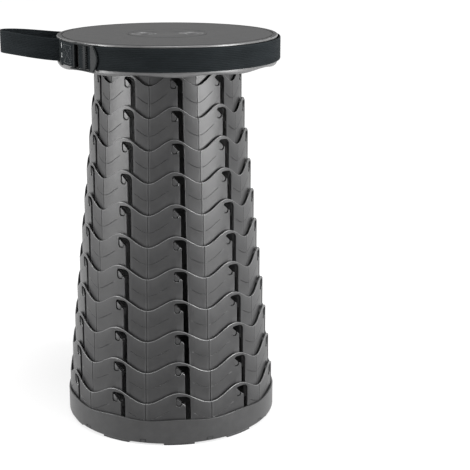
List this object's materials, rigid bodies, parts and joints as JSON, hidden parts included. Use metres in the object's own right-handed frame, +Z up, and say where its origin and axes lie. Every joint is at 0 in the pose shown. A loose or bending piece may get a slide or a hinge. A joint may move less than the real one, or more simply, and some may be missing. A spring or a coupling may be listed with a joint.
{
  "type": "collapsible telescopic stool",
  "caption": "Round stool on a telescopic tower of nested plastic rings with hooked slots; it folds flat and has a webbing carry loop.",
  "frame": {"origin": "on the stool's axis at floor level, in the plane on which the foot pads stand", "axes": "+Z up along the axis on which the rings slide, -Y towards the viewer of the picture's front, -X towards the carry loop"},
  "size_m": [0.3191, 0.2534, 0.45],
  "materials": {
    "grey_plastic": "satin moulded, dark grey",
    "dark_plastic": "satin moulded, near black",
    "dark_webbing": "ribbed woven webbing, near black",
    "black_rubber": "matte",
    "zinc_steel": "plated"
  },
  "bodies": {
    "base": {"base_tray": "grey_plastic", "foot_pads": "black_rubber", "outer_ring": "grey_plastic"},
    "ring_10": {"ring_10": "grey_plastic"},
    "ring_09": {"ring_09": "grey_plastic"},
    "ring_08": {"ring_08": "grey_plastic"},
    "ring_07": {"ring_07": "grey_plastic"},
    "ring_06": {"ring_06": "grey_plastic"},
    "ring_05": {"ring_05": "grey_plastic"},
    "ring_04": {"ring_04": "grey_plastic"},
    "ring_03": {"ring_03": "grey_plastic"},
    "ring_02": {"ring_02": "grey_plastic"},
    "ring_01": {"ring_01": "grey_plastic"},
    "seat": {"seat_skirt_ring": "grey_plastic", "seat_shell": "grey_plastic", "finger_disc": "grey_plastic", "seat_screws": "zinc_steel", "disc_screws": "zinc_steel", "webbing_strap": "dark_webbing", "ladder_buckle": "dark_plastic"}
  },
  "joints": [
    {"name": "slide_10", "type": "slide", "parent": "base", "child": "ring_10", "axis": [0, 0, -1], "range_m": [0, 0.035]},
    {"name": "slide_09", "type": "slide", "parent": "ring_10", "child": "ring_09", "axis": [0, 0, -1], "range_m": [0, 0.035]},
    {"name": "slide_08", "type": "slide", "parent": "ring_09", "child": "ring_08", "axis": [0, 0, -1], "range_m": [0, 0.035]},
    {"name": "slide_07", "type": "slide", "parent": "ring_08", "child": "ring_07", "axis": [0, 0, -1], "range_m": [0, 0.035]},
    {"name": "slide_06", "type": "slide", "parent": "ring_07", "child": "ring_06", "axis": [0, 0, -1], "range_m": [0, 0.035]},
    {"name": "slide_05", "type": "slide", "parent": "ring_06", "child": "ring_05", "axis": [0, 0, -1], "range_m": [0, 0.035]},
    {"name": "slide_04", "type": "slide", "parent": "ring_05", "child": "ring_04", "axis": [0, 0, -1], "range_m": [0, 0.035]},
    {"name": "slide_03", "type": "slide", "parent": "ring_04", "child": "ring_03", "axis": [0, 0, -1], "range_m": [0, 0.035]},
    {"name": "slide_02", "type": "slide", "parent": "ring_03", "child": "ring_02", "axis": [0, 0, -1], "range_m": [0, 0.035]},
    {"name": "slide_01", "type": "slide", "parent": "ring_02", "child": "ring_01", "axis": [0, 0, -1], "range_m": [0, 0.035]},
    {"name": "slide_seat", "type": "slide", "parent": "ring_01", "child": "seat", "axis": [0, 0, -1], "range_m": [0, 0.0315]}
  ],
  "couplings": [
    {"joint": "slide_09", "follows": "slide_10", "ratio": 1},
    {"joint": "slide_08", "follows": "slide_10", "ratio": 1},
    {"joint": "slide_07", "follows": "slide_10", "ratio": 1},
    {"joint": "slide_06", "follows": "slide_10", "ratio": 1},
    {"joint": "slide_05", "follows": "slide_10", "ratio": 1},
    {"joint": "slide_04", "follows": "slide_10", "ratio": 1},
    {"joint": "slide_03", "follows": "slide_10", "ratio": 1},
    {"joint": "slide_02", "follows": "slide_10", "ratio": 1},
    {"joint": "slide_01", "follows": "slide_10", "ratio": 1},
    {"joint": "slide_seat", "follows": "slide_10", "ratio": 0.9}
  ]
}
